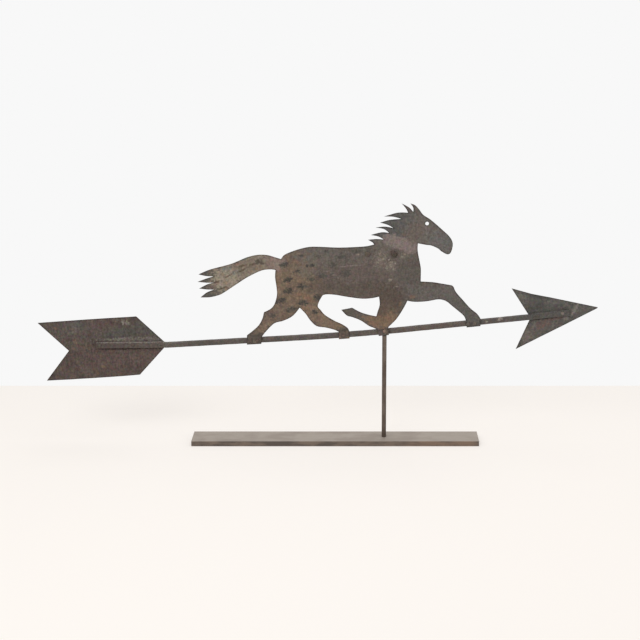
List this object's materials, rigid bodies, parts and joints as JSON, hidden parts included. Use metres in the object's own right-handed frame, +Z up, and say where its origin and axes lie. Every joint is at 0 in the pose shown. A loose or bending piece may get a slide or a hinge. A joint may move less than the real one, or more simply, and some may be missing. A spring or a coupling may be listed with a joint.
{
  "type": "horse weathervane",
  "caption": "Sheet-iron trotting horse riveted on a fletched arrow that turns on a spindle, on a round rod and flat bar stand.",
  "frame": {"origin": "centre of the base bar's underside", "axes": "+X along the base bar towards the arrowhead, +Z up, -Y towards the side that shows the horse's near face"},
  "size_m": [1.0006, 0.0508, 0.4423],
  "materials": {
    "ground_steel": "ground flat bar with brown mottling and a rusty front edge",
    "rod_steel": "drawn round rod with a dull brown tarnish",
    "horse_iron": "old painted sheet iron, worn to dark brown with orange rust and dark rosettes",
    "bar_iron": "forged bar with a dark brown skin, worn paler along its edges",
    "tail_iron": "sheet iron with even brown and mauve rust",
    "head_iron": "sheet iron, dark grey brown with mauve rust in its lower half",
    "rivet_iron": "hand-headed iron rivets, rusty"
  },
  "bodies": {
    "stand": {"base_bar": "ground_steel", "stand_rod": "rod_steel", "base_screw": "rod_steel"},
    "vane": {"arrow_shaft": "bar_iron", "fletching_plate": "tail_iron", "arrowhead_plate": "head_iron", "horse_plate": "horse_iron", "pivot_collar": "bar_iron", "collar_rivet": "rivet_iron", "keeper_screw": "rivet_iron", "bearing_strap": "bar_iron", "tail_rivet_1": "rivet_iron", "tail_rivet_2": "rivet_iron", "tail_rivet_3": "rivet_iron", "head_rivet_1": "rivet_iron", "head_rivet_2": "rivet_iron", "front_hoof_rivet_1": "rivet_iron", "front_hoof_rivet_2": "rivet_iron", "middle_hoof_rivet": "rivet_iron", "rear_hoof_rivet_1": "rivet_iron", "rear_hoof_rivet_2": "rivet_iron", "shoulder_rivet_rear": "rivet_iron", "shoulder_rivet_front": "rivet_iron"}
  },
  "joints": [
    {"name": "vane_spin", "type": "hinge", "parent": "stand", "child": "vane", "pos_m": [0.0885, 0, 0.2098], "axis": [0, 0, 1], "continuous": true}
  ]
}
